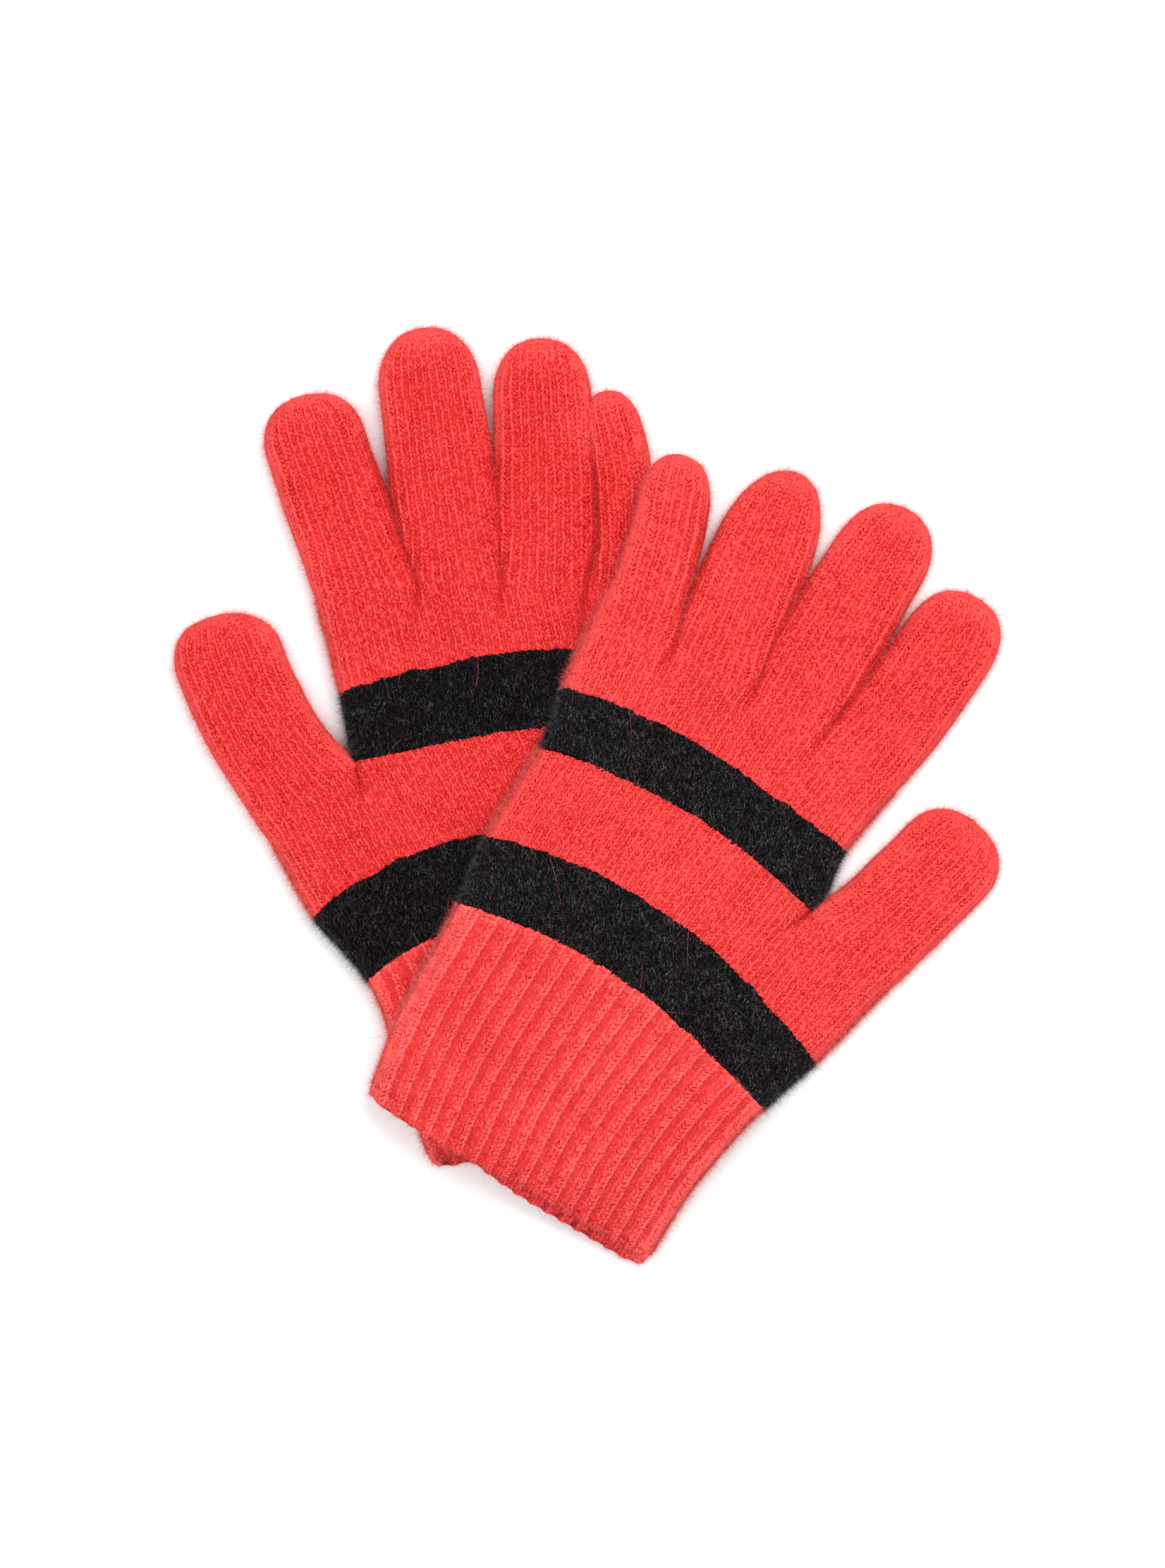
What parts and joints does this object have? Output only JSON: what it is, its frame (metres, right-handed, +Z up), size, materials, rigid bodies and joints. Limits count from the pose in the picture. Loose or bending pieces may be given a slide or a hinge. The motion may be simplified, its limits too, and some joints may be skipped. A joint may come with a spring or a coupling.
{
  "type": "knitted gloves",
  "caption": "Pair of full-finger knitted gloves lying flat, right over left, red with charcoal stripes across the palm and ribbed cuffs",
  "frame": {"origin": "centre of the pair's footprint on the surface it lies on", "axes": "X to the right across the pair, Y up along the left glove's fingers, Z up from the surface"},
  "size_m": [0.2434, 0.2792, 0.016],
  "materials": {
    "red_knit": "matte stockinette wool knit, slightly fuzzy",
    "red_rib": "matte ribbed wool knit, slightly fuzzy",
    "charcoal_knit": "matte heathered wool knit with a few lighter fibres"
  },
  "bodies": {
    "left_hand": {"left_little_finger": "red_knit", "left_upper_palm": "red_knit", "left_upper_stripe": "charcoal_knit", "left_mid_palm": "red_knit", "left_lower_stripe": "charcoal_knit", "left_rib_cuff": "red_rib", "left_hem": "red_rib"},
    "left_ring": {"left_ring_finger": "red_knit"},
    "left_middle": {"left_middle_finger": "red_knit"},
    "left_index": {"left_index_finger": "red_knit"},
    "left_thumb": {"left_thumb": "red_knit"},
    "right_hand": {"right_upper_palm": "red_knit", "right_upper_stripe": "charcoal_knit", "right_mid_palm": "red_knit", "right_lower_stripe": "charcoal_knit", "right_cuff_top": "red_rib"},
    "right_little": {"right_little_finger": "red_knit"},
    "right_ring": {"right_ring_finger": "red_knit"},
    "right_middle": {"right_middle_finger": "red_knit"},
    "right_index": {"right_index_finger": "red_knit"},
    "right_thumb": {"right_thumb": "red_knit"},
    "right_cuff": {"right_cuff_turn": "red_rib", "right_hem": "red_rib"}
  },
  "joints": [
    {"name": "right_glove_lift", "type": "slide", "parent": "left_hand", "child": "right_hand", "axis": [0, 0, 1], "range_m": [0, 0.15]},
    {"name": "left_ring_bend", "type": "hinge", "parent": "left_hand", "child": "left_ring", "pos_m": [-0.013, 0.06175, 0.0079], "axis": [0.9941, -0.1082, 0], "range_deg": [0, 90]},
    {"name": "left_middle_bend", "type": "hinge", "parent": "left_hand", "child": "left_middle", "pos_m": [-0.038, 0.06325, 0.0079], "axis": [0.9999, -0.0119, 0], "range_deg": [0, 90]},
    {"name": "left_index_bend", "type": "hinge", "parent": "left_hand", "child": "left_index", "pos_m": [-0.0656, 0.06115, 0.0079], "axis": [0.9889, 0.1483, 0], "range_deg": [0, 90]},
    {"name": "left_thumb_bend", "type": "hinge", "parent": "left_hand", "child": "left_thumb", "pos_m": [-0.08135, -0.00195, 0.0079], "axis": [0.7042, 0.71, 0], "range_deg": [0, 90]},
    {"name": "right_little_bend", "type": "hinge", "parent": "right_hand", "child": "right_little", "pos_m": [0.01345, 0.0479, 0.0161], "axis": [0.9339, -0.3576, 0], "range_deg": [0, 90]},
    {"name": "right_ring_bend", "type": "hinge", "parent": "right_hand", "child": "right_ring", "pos_m": [0.0373, 0.0374, 0.0161], "axis": [0.8959, -0.4442, 0], "range_deg": [0, 90]},
    {"name": "right_middle_bend", "type": "hinge", "parent": "right_hand", "child": "right_middle", "pos_m": [0.0599, 0.0249, 0.0079], "axis": [0.8503, -0.5264, 0], "range_deg": [0, 90]},
    {"name": "right_index_bend", "type": "hinge", "parent": "right_hand", "child": "right_index", "pos_m": [0.08105, 0.0099, 0.0079], "axis": [0.7816, -0.6238, 0], "range_deg": [0, 90]},
    {"name": "right_thumb_bend", "type": "hinge", "parent": "right_hand", "child": "right_thumb", "pos_m": [0.0777, -0.04585, 0.0079], "axis": [0.6932, -0.7208, 0], "range_deg": [0, 90]},
    {"name": "right_cuff_fold", "type": "hinge", "parent": "right_hand", "child": "right_cuff", "pos_m": [-0.0106, -0.08785, 0.0161], "axis": [-0.8518, 0.5238, 0], "range_deg": [0, 165]}
  ]
}
